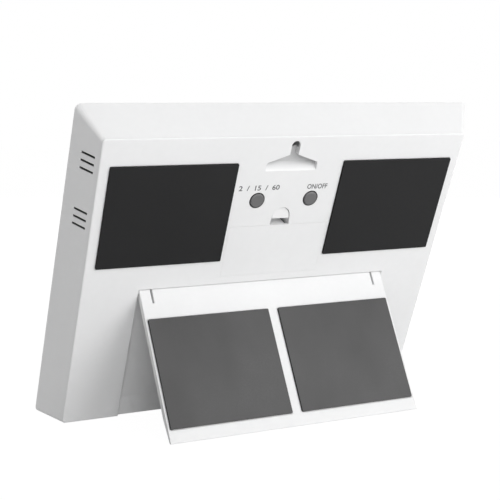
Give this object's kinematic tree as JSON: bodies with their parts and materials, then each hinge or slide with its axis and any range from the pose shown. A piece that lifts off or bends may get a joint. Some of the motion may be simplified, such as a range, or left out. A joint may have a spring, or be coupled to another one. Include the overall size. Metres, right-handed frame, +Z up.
{
  "type": "digital timer",
  "caption": "Large-display digital timer, a flat white case leaning back on a fold-out stand, with magnet sheets and a snap-in battery cover on its back.",
  "frame": {"origin": "on the floor under the middle of the box round the timer as it stands on its open stand", "axes": "+X to the right as seen from the display side, +Y out of the back, +Z up; the display looks along -Y and leans back"},
  "size_m": [0.1832, 0.0702, 0.1326],
  "materials": {
    "battery_sleeve": "dark blue sleeve, no printing",
    "black_epoxy": "black epoxy",
    "black_magnet_sheet": "black flexible magnet sheet with a soft sheen",
    "black_switch_plastic": "black, plain",
    "black_wire_insulation": "black insulation",
    "brass_disc": "bare brass",
    "clear_acrylic": "clear, polished",
    "display_glass": "grey-green display glass",
    "green_circuit_board": "green solder mask",
    "grey_button_plastic": "dark grey, fine grain",
    "grey_rubber": "grey silicone rubber",
    "nickel_plated_steel": "nickel plated",
    "pale_grey_key_plastic": "pale grey",
    "pink_contact_rubber": "layered contact rubber",
    "red_wire_insulation": "red insulation",
    "white_case_plastic": "fine-grained white ABS",
    "white_holder_plastic": "white, plain",
    "zinc_plated_screw": "zinc plated"
  },
  "bodies": {
    "case": {"alarm_length_switch": "black_switch_plastic", "back_magnet_left": "black_magnet_sheet", "back_magnet_right": "black_magnet_sheet", "battery_lower": "battery_sleeve", "battery_upper": "battery_sleeve", "battery_wire_black": "black_wire_insulation", "battery_wire_red": "red_wire_insulation", "board_screw_1": "zinc_plated_screw", "board_screw_2": "zinc_plated_screw", "board_screw_3": "zinc_plated_screw", "board_screw_4": "zinc_plated_screw", "bridge_contact": "nickel_plated_steel", "capacitor": "black_epoxy", "case_screw_1": "zinc_plated_screw", "case_screw_2": "zinc_plated_screw", "case_screw_3": "zinc_plated_screw", "case_screw_4": "zinc_plated_screw", "contact_spring_lower": "nickel_plated_steel", "contact_spring_upper": "nickel_plated_steel", "control_chip": "black_epoxy", "display_lens": "clear_acrylic", "front_case": "white_case_plastic", "keypad_membrane": "grey_rubber", "lcd_holder": "white_holder_plastic", "lcd_panel": "display_glass", "main_circuit_board": "green_circuit_board", "negative_contact": "nickel_plated_steel", "piezo_disc": "brass_disc", "positive_contact": "nickel_plated_steel", "quartz_crystal": "nickel_plated_steel", "rear_case": "white_case_plastic", "sound_switch": "black_switch_plastic", "sounder_wire_black": "black_wire_insulation", "sounder_wire_red": "red_wire_insulation", "zebra_strip_lower": "pink_contact_rubber", "zebra_strip_upper": "pink_contact_rubber"},
    "minute_key_body": {"minute_key": "pale_grey_key_plastic"},
    "second_key_body": {"second_key": "pale_grey_key_plastic"},
    "reset_key_body": {"reset_key": "pale_grey_key_plastic"},
    "start_stop_key_body": {"start_stop_key": "pale_grey_key_plastic"},
    "alarm_length_button_body": {"alarm_length_button": "grey_button_plastic"},
    "sound_button_body": {"sound_button": "grey_button_plastic"},
    "cover": {"battery_cover": "white_case_plastic"},
    "stand_leg": {"stand": "white_case_plastic", "stand_magnet_left": "black_magnet_sheet", "stand_magnet_right": "black_magnet_sheet"}
  },
  "joints": [
    {"name": "stand_hinge", "type": "hinge", "parent": "case", "child": "stand_leg", "pos_m": [0, 0.00522, 0.05641], "axis": [1, 0, 0], "range_deg": [-50.3, 0]},
    {"name": "minute_key_press", "type": "slide", "parent": "case", "child": "minute_key_body", "axis": [0, 0.917, -0.3988], "range_m": [0, 0.0007], "stiffness_N_per_m": 700, "springref_m": -0.0006},
    {"name": "second_key_press", "type": "slide", "parent": "case", "child": "second_key_body", "axis": [0, 0.917, -0.3988], "range_m": [0, 0.0007], "stiffness_N_per_m": 700, "springref_m": -0.0006},
    {"name": "reset_key_press", "type": "slide", "parent": "case", "child": "reset_key_body", "axis": [0, 0.917, -0.3988], "range_m": [0, 0.0007], "stiffness_N_per_m": 700, "springref_m": -0.0006},
    {"name": "start_stop_key_press", "type": "slide", "parent": "case", "child": "start_stop_key_body", "axis": [0, 0.917, -0.3988], "range_m": [0, 0.0007], "stiffness_N_per_m": 700, "springref_m": -0.0006},
    {"name": "alarm_length_button_press", "type": "slide", "parent": "case", "child": "alarm_length_button_body", "axis": [0, -0.917, 0.3988], "range_m": [0, 0.0006], "stiffness_N_per_m": 700, "springref_m": -0.0006},
    {"name": "sound_button_press", "type": "slide", "parent": "case", "child": "sound_button_body", "axis": [0, -0.917, 0.3988], "range_m": [0, 0.0006], "stiffness_N_per_m": 700, "springref_m": -0.0006},
    {"name": "battery_cover_lift", "type": "slide", "parent": "case", "child": "cover", "axis": [0, 0.917, -0.3988], "range_m": [0, 0.025]}
  ]
}
